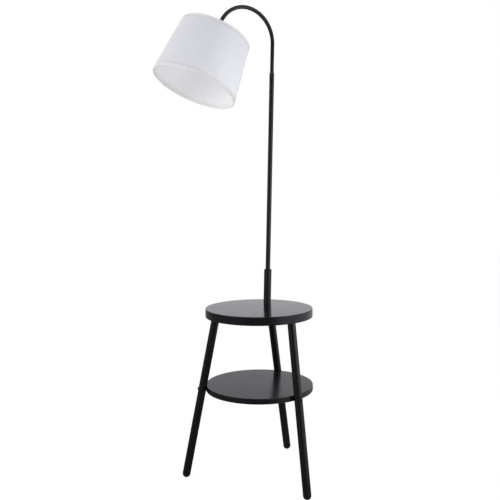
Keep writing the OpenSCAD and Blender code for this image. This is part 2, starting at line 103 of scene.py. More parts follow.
# %% [markdown]
# ## The lamp's own axes
#
# Only the table stands upright. The pole leans a little, and the shade hangs on the slanted
# end of the arm. The frame knows both lines: the arm's swivel joint lies on the pole, and the
# bulb's screw hole points out of the shade. Angles typed in by hand would be wrong as soon as
# the lamp changed. One matrix made from the two lines lets us build each round piece of the
# shade upright, its z axis pointing down the shade, and drop it into place.

# %% Axes of the table, the pole and the shade
low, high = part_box("table_top")
table_centre = (low + high) / 2
swivel = next(joint for joint in frame["joints"] if joint["name"] == "arm_swivel")
bulb_hole = next(mount for mount in frame["record"]["mounts"] if mount["name"] == "bulb_socket")
pole_up = Vector(swivel["axis"]).normalized()
shade_down = Vector(bulb_hole["axis"]).normalized()

# The shade starts at its upper edge, which is the highest slice of its cover
hole_middle = Vector(bulb_hole["pos_m"])
edge_rise = min((v.co - hole_middle).dot(shade_down) for v in nodes["shade_cover"].data.vertices)
shade_origin = hole_middle + shade_down * edge_rise
shade_y = shade_down.cross(-pole_up).normalized()
shade_axes = Matrix((shade_y.cross(shade_down), shade_y, shade_down)).transposed()
shade_frame = Matrix.Translation(shade_origin) @ shade_axes.to_4x4()
print("pole leans", round(math.degrees(pole_up.angle(Vector((0, 0, 1)))), 2), "degrees")
print("shade leans", round(math.degrees(shade_down.angle(Vector((0, 0, -1)))), 2), "degrees")
print("screw hole lies", round(-edge_rise / mm, 2), "mm below the shade's upper edge")

# %% [markdown]
# ## The camera
#
# The photograph was taken from above the table's height, from just over two metres away. A
# camera placed by eye would be wrong by a degree or two, and so would every comparison made
# through it. So the lens and the small turns come from a fit to the two boards, the legs and
# the shade. The camera comes first, because every later piece is judged in the real view.

# %% Camera at the photograph's viewpoint
photo_side = 500
focal_pixels = 693.84
sensor_mm = 36
camera_distance, camera_height = 2.2435, 0.9449
camera_yaw, camera_pitch, camera_roll = -0.710, 4.990, -0.431

camera_data = bpy.data.cameras.new("photo_camera")
camera_data.sensor_width = sensor_mm
camera_data.lens = focal_pixels / photo_side * sensor_mm
camera_data.clip_end = 50
camera = bpy.data.objects.new("photo_camera", camera_data)
bpy.context.scene.collection.objects.link(camera)
aim = Euler((math.radians(90 - camera_pitch), 0, math.radians(-camera_yaw)))
roll = Matrix.Rotation(math.radians(camera_roll), 4, "Z")
stand_point = Vector((table_centre.x, table_centre.y - camera_distance, camera_height))
camera.matrix_world = Matrix.Translation(stand_point) @ aim.to_matrix().to_4x4() @ roll
bpy.context.scene.camera = camera
print("camera lens", round(camera_data.lens, 2), "mm, at", camera_height, "m above the floor")

# %% [markdown]
# ## Colours in linear light
#
# A paint chip or a web page gives a colour as sRGB hex. Blender computes in linear light,
# where twice the number is twice the light, so one function converts every colour here.
# Written as hex, two tones can be compared at a glance.

# %% From hex to linear light
def linear(hex_colour):
    """An sRGB hex colour such as #1b1b1d as linear red, green, blue and an alpha of 1."""
    values = [int(hex_colour[i:i + 2], 16) / 255 for i in (1, 3, 5)]
    return [v / 12.92 if v <= 0.04045 else ((v + 0.055) / 1.055) ** 2.4 for v in values] + [1.0]


print("middle grey #808080 gives back", round(linear("#808080")[0] * 100), "% of the light")

# %% [markdown]
# ## Adding nodes
#
# A finish is a small tree of nodes that ends in the Principled shader. It could be wired by
# hand in the shader editor, but written as code it can be read, repeated and changed in one
# place. One function adds any node with its settings and its links. Scales are given as the
# real width of a feature in millimetres, because that can be checked with a ruler.

# %% One way to add a node, and a place to start a finish
def add(tree, kind, settings=None, links=None):
    """Adds a node. settings are its properties or unlinked sockets, links the fed sockets."""
    node = tree.nodes.new("ShaderNode" + kind)
    for name, value in (settings or {}).items():
        if isinstance(name, str) and hasattr(node, name):
            setattr(node, name, value)
        else:
            node.inputs[name].default_value = value
    for name, output in (links or {}).items():
        tree.links.new(output, node.inputs[name])
    return node


def finish(name, settings):
    """A new material with a Principled shader: the material, its node tree and the shader."""
    material = bpy.data.materials.new(name)
    material.use_nodes = True
    shader = material.node_tree.nodes["Principled BSDF"]
    for socket_name, value in settings.items():
        shader.inputs[socket_name].default_value = value
    return material, material.node_tree, shader


def dress(node_name, material):
    """Gives a solid of the frame its finish."""
    nodes[node_name].data.materials.clear()
    nodes[node_name].data.materials.append(material)


def per(size_mm):
    """Noise scale at which one feature is about size_mm wide, for coordinates in metres."""
    return 1 / (size_mm * mm)


print("a feature of 2.5 mm needs a noise scale of", round(per(2.5)))

# %% [markdown]
# ## A surface that wanders
#
# No real surface is the same all over. Lacquer, plating and moulded plastic drift a little in
# colour and gloss and have a faint relief, and without that drift they look computed. An
# image could be wrapped round the pieces, but it would stretch on the round ones. A noise in
# the piece's own coordinates doesn't: one pattern moves the colour between two close tones
# and the roughness between two values, and one makes bumps, hundredths of a millimetre deep.

# %% Patterns for colour, gloss and relief
noise_low, noise_high = 0.3, 0.7


def wander(tree, shader, cloud, tones, roughness, relief, strength, depth):
    """cloud moves the colour and the roughness between two values, relief makes the bumps."""
    tint = add(tree, "MixRGB", {"Color1": linear(tones[0]), "Color2": linear(tones[1])},
               {"Fac": cloud.outputs["Fac"]})
    sheen = add(tree, "MapRange", {"From Min": noise_low, "From Max": noise_high,
                                   "To Min": roughness[0], "To Max": roughness[1]},
                {"Value": cloud.outputs["Fac"]})
    bump = add(tree, "Bump", {"Strength": strength, "Distance": depth},
               {"Height": relief.outputs["Fac"]})
    tree.links.new(tint.outputs["Color"], shader.inputs["Base Color"])
    tree.links.new(sheen.outputs["Result"], shader.inputs["Roughness"])
    tree.links.new(bump.outputs["Normal"], shader.inputs["Normal"])


print("nearly all of a noise lies between", noise_low, "and", noise_high)

# %% [markdown]
# ## Sprayed black lacquer on the boards
#
# The two boards are fibreboard, sprayed with black lacquer in several coats and buffed. To
# the eye that is a deep black with a clear reflection: nearly all the light that comes off
# it is a mirror image of the room, strongest at a low angle. Sprayed lacquer is never quite
# flat. It keeps a faint orange peel of hills a few millimetres wide, and wiping leaves areas
# that are a touch duller. A clear coat could be laid over a matt base, but this lacquer is
# one glossy black layer, so a plain dielectric with an IOR near 1.5 is enough. The top is
# buffed brighter than the shelf, which gives back a softer image of the legs.

# %% Finish of the table top and the shelf
board_tones = ("#0b0b0c", "#101011")
peel_mm, peel_depth, haze_mm = 2.6, 0.012 * mm, 90
board_roughness = {"table_top": (0.13, 0.18), "lower_shelf": (0.2, 0.26)}


def sprayed_lacquer(name, roughness):
    material, tree, shader = finish(name, {"IOR": 1.52})
    place = add(tree, "TexCoord").outputs["Object"]
    haze = add(tree, "TexNoise", {"Scale": per(haze_mm), "Detail": 3.0, "Roughness": 0.5},
               {"Vector": place})
    peel = add(tree, "TexNoise", {"Scale": per(peel_mm), "Detail": 1.0}, {"Vector": place})
    wander(tree, shader, haze, board_tones, roughness, peel, strength=1.0, depth=peel_depth)
    return material


for name, roughness in board_roughness.items():
    dress(name, sprayed_lacquer("black_lacquered_fibreboard_" + name, roughness))
    print(name, "sprayed, roughness", roughness)

# %% [markdown]
# ## Black-stained beech on the legs
#
# The legs are turned from solid beech, stained black and lacquered thinner than the boards,
# so the grain can still be felt. To the eye they are blacker than the boards, with a satin
# streak down each side that the pores break up. The grain has to follow the lean of each
# leg, so the pattern's coordinates are turned into the leg's own direction before the noise
# is stretched along it. The direction is measured on the leg itself.

# %% Finish of the legs
leg_tones, leg_roughness = ("#070707", "#0f0e0d"), (0.24, 0.34)
# A pore of beech is about a tenth of a millimetre wide, too fine to show, so it is drawn wider
pore_mm, pore_length_mm, pore_depth = 0.9, 26, 0.03 * mm
top_slice, foot_slice = 1 * mm, 5 * mm


def slice_middle(points):
    return (points.max(0) + points.min(0)) / 2


def leg_direction(leg):
    """The line through a leg, from the middles of its top and bottom slices."""
    points = np.array([v.co for v in leg.data.vertices])
    top = points[points[:, 2] > points[:, 2].max() - top_slice]
    foot = points[points[:, 2] < points[:, 2].min() + foot_slice]
    return Vector(slice_middle(top) - slice_middle(foot)).normalized()


def stained_beech(leg):
    material, tree, shader = finish("black_stained_beech_" + leg.name, {"IOR": 1.5})
    upright = leg_direction(leg).rotation_difference(Vector((0, 0, 1))).to_euler()
    place = add(tree, "TexCoord").outputs["Object"]
    along = add(tree, "Mapping", {"Rotation": upright}, {"Vector": place})
    grain = add(tree, "Mapping", {"Scale": (per(pore_mm), per(pore_mm), per(pore_length_mm))},
                {"Vector": along.outputs["Vector"]})
    pores = add(tree, "TexNoise", {"Scale": 1.0, "Detail": 3.0, "Roughness": 0.6},
                {"Vector": grain.outputs["Vector"]})
    wander(tree, shader, pores, leg_tones, leg_roughness, pores, strength=0.6, depth=pore_depth)
    return material


for name in ("leg_left", "leg_right", "leg_back"):
    dress(name, stained_beech(nodes[name]))
    lean = leg_direction(nodes[name]).angle(Vector((0, 0, 1)))
    print(name, "leans", round(math.degrees(lean), 1), "degrees")

# %% [markdown]
# ## Powder coat on the pole, the arm and the bolt heads
#
# The steel tubes are powder coated and baked. The powder melts into a satin skin with a fine
# even pebble. On a thin tube that spreads each reflection into a soft bright line along both
# sides. The coat is plastic over steel, so it isn't metallic: the eye sees the skin, with an
# IOR of 1.5, and nothing of the metal below it.

# %% Finish of the steel tubes
coat_tones, coat_roughness = ("#0d0d0e", "#131315"), (0.30, 0.38)
# The pebble of a satin powder is about half a millimetre wide, and drawn a little wider to show
pebble_mm, pebble_depth, coat_cloud_mm = 0.8, 0.006 * mm, 40


def powder_coat():
    material, tree, shader = finish("satin_black_powder_coated_steel", {"IOR": 1.5})
    place = add(tree, "TexCoord").outputs["Object"]
    pebble = add(tree, "TexNoise", {"Scale": per(pebble_mm), "Detail": 1.0}, {"Vector": place})
    cloud = add(tree, "TexNoise", {"Scale": per(coat_cloud_mm), "Detail": 2.0}, {"Vector": place})
    wander(tree, shader, cloud, coat_tones, coat_roughness, pebble, strength=0.3, depth=pebble_depth)
    return material


tube_coat = powder_coat()
coated = ("pole_socket", "socket_collar", "lower_pole", "bent_arm", "shelf_bolts")
for name in coated:
    dress(name, tube_coat)
print("powder coated:", ", ".join(coated))

# %% [markdown]
# ## Bright metals
#
# Under the table and inside the shade are the pieces that a fitter knows. Steel studs, nuts
# and plugs are zinc plated in a bath, which leaves a cool grey mirror with a fine cloud. The
# brass inserts and the shell of the lampholder are warmer and a little smoother. A metal has
# no colour under its skin, so metallic is 1, the base colour is the colour of the mirror and
# the IOR stays at its default.

# %% Zinc and brass
def mottled(name, settings, tones, roughness, spot_mm, relief=0.01 * mm):
    """A finish whose colour, gloss and fine relief all wander at the scale of one spot."""
    material, tree, shader = finish(name, settings)
    place = add(tree, "TexCoord").outputs["Object"]
    spots = add(tree, "TexNoise", {"Scale": per(spot_mm), "Detail": 3.0}, {"Vector": place})
    wander(tree, shader, spots, tones, roughness, spots, strength=0.5, depth=relief)
    return material


zinc = mottled("bright_zinc_plated_steel", {"Metallic": 1.0}, ("#a9adb3", "#c4c6c8"), (0.22, 0.38), 3)
brass = mottled("stamped_brass", {"Metallic": 1.0}, ("#c9a35a", "#d9b870"), (0.20, 0.34), 4)
print("metals:", zinc.name, "and", brass.name)

# %% [markdown]
# ## Plastics, porcelain and paint
#
# The lampholder's shell has to stand the heat of a bulb, so it is pressed from a black
# thermoset, which comes out of a polished mould near black with a satin shine. The liner in
# which the arm turns is acetal, waxier and duller. The core that carries the contacts is
# porcelain: the glaze gives the sharpest shine of all on a warm white, in low waves where it
# has run. The lead has a smooth extruded sheath, and the wires of the shade are painted a
# warm white. They show from below and from behind, so each has its own finish.

# %% Finishes of the lampholder, the liner, the lead and the wires
black_plastic = mottled("black_moulded_thermoset", {"IOR": 1.55}, ("#151515", "#1d1d1e"), (0.30, 0.42), 1.2)
liner_plastic = mottled("black_moulded_acetal", {"IOR": 1.48}, ("#161617", "#1b1b1c"), (0.40, 0.52), 1.5)
porcelain = mottled("glazed_porcelain", {"IOR": 1.52}, ("#e9e5da", "#f1eee6"), (0.08, 0.16), 6)
lead_sheath = mottled("extruded_clear_grey_sheath", {"IOR": 1.53}, ("#c9c9c6", "#d6d6d3"), (0.30, 0.42), 5)
white_wire = mottled("white_painted_steel_wire", {"IOR": 1.5}, ("#dedcd6", "#e8e6e1"), (0.32, 0.42), 4,
                     relief=0.005 * mm)

small_finishes = {
    zinc: ("leg_hanger_bolts", "pole_foot_plug", "table_washer", "table_nut", "arm_end_plug"),
    brass: ("leg_inserts", "shelf_sleeve_nuts", "terminal_screws", "screw_shell", "centre_contact"),
    black_plastic: ("holder_cap", "holder_body", "shade_clamp_ring", "cable_outlet_bush"),
    liner_plastic: ("swivel_liner",),
    porcelain: ("holder_core",),
    lead_sheath: ("inner_lead",),
    white_wire: ("shade_carrier", "shade_bottom_ring"),
}
for material, names in small_finishes.items():
    for name in names:
        dress(name, material)
    print(material.name, "on", ", ".join(names))

# %% [markdown]
# ## A lathe for outlines
#
# Almost everything on this lamp is round, so the natural tool is the lathe: draw half of the
# cut-through shape and turn it about the axis. Blender's Screw modifier does the same, but
# here a small function of angle and height may also push the skin in or out, for a seam or a
# thread. The lathe writes a UV map in metres too, once round the piece and along its
# outline, which lets a weave run straight on a cone.

# %% Spin an outline into a mesh
def spin(name, outline, steps, place, material, push=None, closed=True, sharp=35):
    """outline: (radius, height) pairs in metres, anticlockwise when closed."""
    outline = np.array(outline, float)
    count = len(outline)
    angles = np.arange(steps) * 2 * math.pi / steps
    radius = np.repeat(outline[None, :, 0], steps, 0)
    height = np.repeat(outline[None, :, 1], steps, 0)
    if push is not None:
        radius, height = push(angles[:, None], radius, height)
    points = np.stack([radius * np.cos(angles)[:, None], radius * np.sin(angles)[:, None], height], -1)

    ends = np.roll(outline, -1, 0) - outline
    travel = np.concatenate([[0], np.cumsum(np.hypot(ends[:, 0], ends[:, 1]))])
    faces, corners = [], []
    for i in range(steps):
        j = (i + 1) % steps
        for k in range(count if closed else count - 1):
            m = (k + 1) % count
            faces.append((i * count + k, j * count + k, j * count + m, i * count + m))
            u0, u1 = i / steps, (i + 1) / steps
            corners += [(u0, travel[k]), (u1, travel[k]), (u1, travel[k + 1]), (u0, travel[k + 1])]

    mesh = bpy.data.meshes.new(name)
    mesh.from_pydata(points.reshape(-1, 3).tolist(), [], faces)
    mesh.transform(place)
    metres = np.array(corners)
    metres[:, 0] *= 2 * math.pi * float(np.mean(outline[:, 0]))
    mesh.uv_layers.new(name="metres").data.foreach_set("uv", metres.astype(np.float32).ravel())
    mesh.materials.append(material)
    mesh.shade_smooth()
    mesh.set_sharp_from_angle(angle=math.radians(sharp))
    piece = bpy.data.objects.new(name, mesh)
    bpy.context.scene.collection.objects.link(piece)
    print(name + ":", len(faces), "faces")
    return piece


# %% [markdown]
# ## Two strokes for every outline
#
# A turner's profile is made of straight walls and rounded edges. Two functions draw them:
# one gives points along a straight line, close together where a thread has to show, and the
# other gives points on an arc. Every outline below is a list of such strokes, with no more
# points than its shape needs.

# %% Straight lines and arcs
def straight(start, stop, count):
    """count points on a line, both ends among them."""
    return [(start[0] + (stop[0] - start[0]) * t, start[1] + (stop[1] - start[1]) * t)
            for t in np.linspace(0, 1, count)]


def bow(centre, radius, start, stop, count):
    """count points on a circle's arc from angle start to stop, in degrees."""
    turns = np.radians(np.linspace(start, stop, count))
    return [(centre[0] + radius * math.cos(t), centre[1] + radius * math.sin(t)) for t in turns]


quarter = bow((0, 0), 1.0, 0, 90, 6)
print("a quarter circle of", len(quarter), "points ends at", [round(value, 2) for value in quarter[-1]])

# %% [markdown]
# ## The weave as a pattern
#
# Close up, the light picks out the weave of the shade's cloth: fine threads, with a few
# thicker slubs both ways. Modelled threads would take millions of faces, so the weave is a
# pattern in the cloth's own coordinates, in metres. Half a wave is one thread, and two
# crossed waves multiplied go over and under as a plain weave does. A slub is a noise that is
# stretched along its thread. Their sum is the relief of the cloth.

# %% Threads and slubs
# Real threads lie about 0.5 mm apart, too fine for this picture, so they are drawn twice as coarse
thread_mm = 1.0
slub_mm, slub_length_mm = 1.6, 45
slub_low, slub_high, weave_share = 0.12, 0.4, 0.25


def woven(tree, cloth):
    """The relief of a plain weave with slubs, from coordinates on the cloth."""
    axes = add(tree, "SeparateXYZ", links={"Vector": cloth})
    waves = []
    for axis in ("X", "Y"):
        turns = add(tree, "Math", {"operation": "MULTIPLY", 1: math.pi * per(thread_mm)},
                    {0: axes.outputs[axis]})
        waves.append(add(tree, "Math", {"operation": "SINE"}, {0: turns.outputs[0]}).outputs[0])
    over = add(tree, "Math", {"operation": "MULTIPLY"}, {0: waves[0], 1: waves[1]})
    weave = add(tree, "MapRange", {"From Min": -1.0, "From Max": 1.0}, {"Value": over.outputs[0]})
    slubs = []
    for scale in ((per(slub_length_mm), per(slub_mm), 1), (per(slub_mm), per(slub_length_mm), 1)):
        stretched = add(tree, "Mapping", {"Scale": scale}, {"Vector": cloth})
        slub = add(tree, "TexNoise", {"Scale": 1.0, "Detail": 2.0}, {"Vector": stretched.outputs["Vector"]})
        slubs.append(slub.outputs["Fac"])
    both = add(tree, "Math", {"operation": "MULTIPLY"}, {0: slubs[0], 1: slubs[1]})
    thick = add(tree, "MapRange", {"From Min": slub_low, "From Max": slub_high}, {"Value": both.outputs[0]})
    relief = add(tree, "Math", {"operation": "MULTIPLY_ADD", 1: weave_share},
                 {0: weave.outputs["Result"], 2: thick.outputs["Result"]})
    return relief.outputs[0]


print("threads to the centimetre, as drawn:", round(10 / thread_mm))

# %% [markdown]
# ## The cloth of the shade
#
# The shade is an off-white cotton blend, laminated to a stiff plastic sheet and rolled into
# a cone. From two metres away it looks plain and matt, with a little sheen from the loose
# fibres. Colour and relief come from the same weave, so that they never drift apart. Part of
# the light goes through, which the Translucent shader adds, and that softens the shade's
# dark side. The hem and the trim have more layers, so less light gets through them. The
# trim is also a tone deeper in colour. On the rolled beads that deeper tone is painted shade
# on the outer side, which the floor light catches, and the hem's lighter tone is painted
# light on the inner side, which lies in shade.

# %% Woven finishes for the cover, its hem and its trims
cloth_settings = {"Roughness": 0.9, "IOR": 1.45, "Sheen Weight": 0.05, "Sheen Roughness": 0.5}
weave_strength, weave_depth = 0.35, 0.12 * mm


def let_light_through(tree, shader, links, share):
    """Mixes a translucent layer into the finish, for the share of light that goes through."""
    through = add(tree, "BsdfTranslucent", links=links)
    skin = add(tree, "MixShader", {0: share}, {1: shader.outputs["BSDF"], 2: through.outputs["BSDF"]})
    tree.links.new(skin.outputs["Shader"], tree.nodes["Material Output"].inputs["Surface"])


def laminated_cloth(name, thread_hex, gap_hex, share_through, turned=0.0):
    """Cloth with one colour for threads and one for gaps, turned by some degrees."""
    material, tree, shader = finish(name, cloth_settings)
    place = add(tree, "TexCoord").outputs["UV"]
    laid = add(tree, "Mapping", {"Rotation": (0, 0, math.radians(turned))}, {"Vector": place})
    relief = woven(tree, laid.outputs["Vector"])
    tint = add(tree, "MixRGB", {"Color1": linear(gap_hex), "Color2": linear(thread_hex)}, {"Fac": relief})
    bump = add(tree, "Bump", {"Strength": weave_strength, "Distance": weave_depth}, {"Height": relief})
    tree.links.new(tint.outputs["Color"], shader.inputs["Base Color"])
    tree.links.new(bump.outputs["Normal"], shader.inputs["Normal"])
    let_light_through(tree, shader, {"Color": tint.outputs["Color"], "Normal": bump.outputs["Normal"]},
                      share_through)
    return material


cover_cloth = laminated_cloth("white_cotton_laminate", "#f5f6fa", "#edeef3", 0.62)
# On the beads the hem's lighter tone is painted light on the shaded inner side, and the trim's deeper tone is
# painted shade on the lit outer side
hem_cloth_and_painted_bead_light = laminated_cloth("white_cotton_rolled_hem", "#f3f3f4", "#ededee", 0.15)
# A trim is cut on the bias, at 45 degrees to the threads, because cloth stretches that way
trim_cloth_and_painted_bead_shade = laminated_cloth("white_bias_trim", "#dcdcdf", "#d6d6d9", 0.1, turned=45.0)
print("cloths:", cover_cloth.name, hem_cloth_and_painted_bead_light.name, trim_cloth_and_painted_bead_shade.name)

# %% [markdown]
# ## The lining of the shade
#
# Seen from below, the inside of the shade is the smooth back of the plastic sheet, rolled
# flat between hot rollers. To the eye it is a plain, slightly warm white with a soft shine
# and hardly any relief. It needs no weave, only a slow cloud in its colour. As light enters
# through the cloth, the lining is translucent as well.

# %% Finish of the lining
lining_tones, lining_cloud_mm, lining_share = ("#f6f6f6", "#f1f1f1"), 30, 0.35


def lining_sheet():
    material, tree, shader = finish("white_calendered_plastic_sheet", {"IOR": 1.52, "Roughness": 0.5})
    place = add(tree, "TexCoord").outputs["UV"]
    cloud = add(tree, "TexNoise", {"Scale": per(lining_cloud_mm), "Detail": 3.0}, {"Vector": place})
    tint = add(tree, "MixRGB", {"Color1": linear(lining_tones[0]), "Color2": linear(lining_tones[1])},
               {"Fac": cloud.outputs["Fac"]})
    tree.links.new(tint.outputs["Color"], shader.inputs["Base Color"])
    let_light_through(tree, shader, {"Color": tint.outputs["Color"]}, lining_share)
    return material


lining = lining_sheet()
print("share of light let through by the lining:", lining_share)

# %% [markdown]
# ## Measuring the shade
#
# The frame's solid gives the true size of the shade, so nothing has to be typed in. Turned
# into the shade's own axes, its points become radius and depth, and the widest points near
# each edge give the two radii. The hem of the solid stands a little proud of the skin, and
# that is taken off again.

# %% Radii and height of the cover
cad_cover = np.array([shade_frame.inverted() @ v.co for v in nodes["shade_cover"].data.vertices])
reach_out = np.hypot(cad_cover[:, 0], cad_cover[:, 1])
shade_height = cad_cover[:, 2].max()
hem, wall = 0.3 * mm, 0.9 * mm
edge_slice = 1 * mm
edge_radius = reach_out[cad_cover[:, 2] < edge_slice].max() - hem
mouth_radius = reach_out[cad_cover[:, 2] > shade_height - edge_slice].max() - hem
slope = (mouth_radius - edge_radius) / shade_height
tilt = math.degrees(math.atan(slope))


def skin_radius(depth):
    """Outside radius of the cover at a depth below its upper edge."""
    return edge_radius + slope * depth


print("shade:", round(edge_radius / mm, 1), "to", round(mouth_radius / mm, 1), "mm in radius,",
      round(shade_height / mm, 1), "mm high")

# %% [markdown]
# ## Rolling the edges
#
# At both edges the cover is rolled round a wire ring and glued back inside, which leaves a
# soft round bead instead of a sharp cut. The outline follows that sheet of cloth: round the
# wire, straight back to the wall, along the lining to the other end, round the second wire
# and back along the outside. A bevel on a plain cone would be quicker, but it would lose the
# strip of turned-back cloth, which is the first thing that shows in the mouth of the shade.

# %% Outline of the rolled sheet
# Radius of the bead, and the angles at which the cloth leaves the wires on its way inside
bead = 2.4 * mm
mouth_turn, top_turn = 200, 150
# Of each bead's points, the outer ones take the trim's darker tone, painted shade where the floor light
# catches them, and the inner ones the hem's lighter tone, painted light where the bead lies in shade
bead_points, trim_points_painted_darker, lining_points, skin_points = 22, 15, 12, 24


def glued_back(centre, leaves_at):
    """Where cloth that leaves the wire straight, at an angle in degrees, meets the wall."""
    turn = math.radians(leaves_at)
    start = (centre[0] + bead * math.cos(turn), centre[1] + bead * math.sin(turn))
    along = (-math.sin(turn), math.cos(turn))
    run = (skin_radius(start[1]) - wall - start[0]) / (along[0] - slope * along[1])
    return start[0] + along[0] * run, start[1] + along[1] * run


top_wire = (skin_radius(bead) - bead, bead)
mouth_wire = (skin_radius(shade_height - bead) - bead, shade_height - bead)
inside_low = glued_back(mouth_wire, mouth_turn)
inside_high = glued_back(top_wire, top_turn)
outline = bow(mouth_wire, bead, -tilt, mouth_turn, bead_points)
outline += straight(inside_low, inside_high, lining_points + 2)
outline += bow(top_wire, bead, top_turn, 360 - tilt, bead_points)
skin_depths = np.linspace(bead, shade_height - bead, skin_points + 2)[1:-1]
outline += [(skin_radius(depth), depth) for depth in skin_depths]
print("cloth turned back", round((mouth_wire[1] - inside_low[1]) / mm, 1), "mm at the mouth")

# %% [markdown]
# ## The cover
#
# The cover is one closed skin of four finishes, one for each stretch of the outline: woven
# cloth outside, lining, turned-back hem, and trim. On each bead the outer part takes the
# trim's darker tone, painted shade where the floor light catches it, and the inner part the
# hem's lighter tone, painted light where the bead lies in shade. A piece for each finish would
# leave seams that the real sheet doesn't have. Where the sheet's two ends overlap, a lap runs
# from edge to edge. It faces the pole, away from the eye. The lathe's push makes it: near one
# angle the skin steps out by one thickness, with a soft shoulder.

# %% Cover of the shade
round_steps = 288
lap_width, lap_step, lap_shoulder = 10 * mm, 0.5 * mm, 1.2 * mm


def lapped(angle, radius, height):
    """Lifts the skin by one thickness where the sheet's ends overlap."""
    off = (angle + math.pi) % (2 * math.pi) - math.pi
    side = np.abs(off) * radius
    rise = np.clip((lap_width / 2 - side) / lap_shoulder + 0.5, 0, 1)
    return radius + lap_step * rise * rise * (3 - 2 * rise), height


cover = spin("shade_cover_cloth", outline, round_steps, shade_frame, cover_cloth, push=lapped)
for material in (lining, hem_cloth_and_painted_bead_light, trim_cloth_and_painted_bead_shade):
    cover.data.materials.append(material)
WOVEN, LINED, HEM_TONE_PAINTED_LIGHT, TRIM_TONE_PAINTED_SHADE = range(4)
hem_rows_painted_lighter = bead_points - trim_points_painted_darker
# Bead rows: the outer ones in the trim's darker tone, painted shade, the inner ones in the hem's lighter
# tone, painted light
rows = [TRIM_TONE_PAINTED_SHADE] * trim_points_painted_darker + [HEM_TONE_PAINTED_LIGHT] * hem_rows_painted_lighter + [LINED] * (lining_points + 1)
rows += [HEM_TONE_PAINTED_LIGHT] * hem_rows_painted_lighter + [TRIM_TONE_PAINTED_SHADE] * trim_points_painted_darker + [WOVEN] * (skin_points + 1)
cover.data.polygons.foreach_set("material_index", np.tile(np.array(rows, np.int32), round_steps))
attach(cover, "arm")
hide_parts("shade_cover")
print("rows of faces from edge to edge and back:", len(rows))

# %% [markdown]
# ## Trims at both edges
#
# A narrow band of bias cloth is glued on along each edge and covers the raw fold. It is the
# faint line that runs round both ends of the shade in the photograph. A darker stripe in the
# cover's finish would give its colour but not its step. So each band is a thin ring of its
# own that stands a third of a millimetre proud, with its two long edges pressed down, so that
# it catches the light softly and not as a cut.

# %% Upper and lower trim
trim_width, trim_lift, trim_sunk = 9.5 * mm, 0.35 * mm, 0.2 * mm
trim_pressed, trim_rows = 0.6, 8
# The trim begins a little in from the edge, at a share of the bead's radius
trim_inset = 0.6
trim_start = bead * trim_inset


def trim(name, start, stop):
    """A band of turned cloth that lies on the skin between two depths."""
    depths = np.linspace(start, stop, trim_rows)
    outer = [(skin_radius(depth) + trim_lift, depth) for depth in depths]
    for end in (0, -1):
        outer[end] = (outer[end][0] - trim_lift * trim_pressed, outer[end][1])
    inner = [(skin_radius(depth) - trim_sunk, depth) for depth in depths]
    return spin(name, outer + inner[::-1], round_steps, shade_frame, trim_cloth_and_painted_bead_shade, sharp=50)


for name, start, stop in (("shade_upper_trim", trim_start, trim_width),
                          ("shade_lower_trim", shade_height - trim_width, shade_height - trim_start)):
    band = trim(name, start, stop)
    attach(band, "arm")
print("trims stand", round(trim_lift / mm, 2), "mm proud")

# %% [markdown]
# ## The brass shell of the lampholder
#
# Look up into the shade and the lampholder is there. The brass shell that takes the bulb is
# rolled from thin sheet, so one wave runs round it as a screw thread with a pitch of 3.6 mm.
# A thread could be cut with a swept profile and a boolean. On the lathe it is simpler: the
# radius of the spun wall rises and falls with height minus a share of the angle, and the
# wave fades out at both ends. Heights here are depths below the shade's upper edge.

# %% Rolled screw shell
thread_steps = 96
shell_pitch, shell_wave = 3.62 * mm, 1.1 * mm
shell_radius = bulb_hole["dims"]["r_mm"] * mm
shell_wall, shell_start, shell_end = 0.35 * mm, 13 * mm, 35 * mm
shell_floor, contact_hole, shell_points = 0.6 * mm, 7 * mm, 90


def wave(angle, height, pitch, start, end):
    """From 0 to 1 and back once a pitch, and once round the piece, fading at both ends."""
    fade = np.clip((height - start) / pitch, 0, 1) * np.clip((end - height) / pitch, 0, 1)
    return (0.5 - 0.5 * np.cos(2 * math.pi * height / pitch - angle)) * fade


def rolled(angle, radius, height):
    """One wave per turn, pressed inwards."""
    return radius - shell_wave * wave(angle, height, shell_pitch, shell_start, shell_end), height


outside = shell_radius + shell_wall
shell_outline = straight((outside, shell_start), (outside, shell_end), shell_points)
shell_outline += straight((shell_radius, shell_end), (shell_radius, shell_start + shell_floor), shell_points)
shell_outline += [(contact_hole, shell_start + shell_floor), (contact_hole, shell_start)]
shell = spin("screw_shell_rolled", shell_outline, thread_steps, shade_frame, brass, push=rolled)
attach(shell, "arm")
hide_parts("screw_shell")
print("turns of thread in the shell:", round((shell_end - shell_start) / shell_pitch, 1))

# %% [markdown]
# ## The threaded body of the lampholder
#
# The black body carries a coarse outside thread for the ring that clamps the shade. It is
# moulded in one piece: a neck, a shoulder with rounded edges, and a skirt with the thread.
# The same wave does it, but only where the wall is the outside of the skirt, so that the
# bore stays smooth.

# %% Lampholder body
body_pitch, body_wave = 2.6 * mm, 0.7 * mm
body_radius, body_start, body_end, body_points = 19.3 * mm, 25.5 * mm, 44 * mm, 110
neck_radius, neck_top = 17 * mm, 5 * mm
shoulder_radius, shoulder_top, shoulder_end = 21.8 * mm, 11 * mm, 14 * mm
body_bore, core_bore, core_end, skirt_end = 14.1 * mm, 14.8 * mm, 13 * mm, 46 * mm
soft, soft_points = 0.8 * mm, 6
skin_depth = 0.2 * mm


def threaded(angle, radius, height):
    """A thread cut into the outside of the skirt, below the clamping ring."""
    depth = body_wave * wave(angle, height, body_pitch, body_start, body_end)
    return np.where(radius > body_radius - skin_depth, radius - depth, radius), height


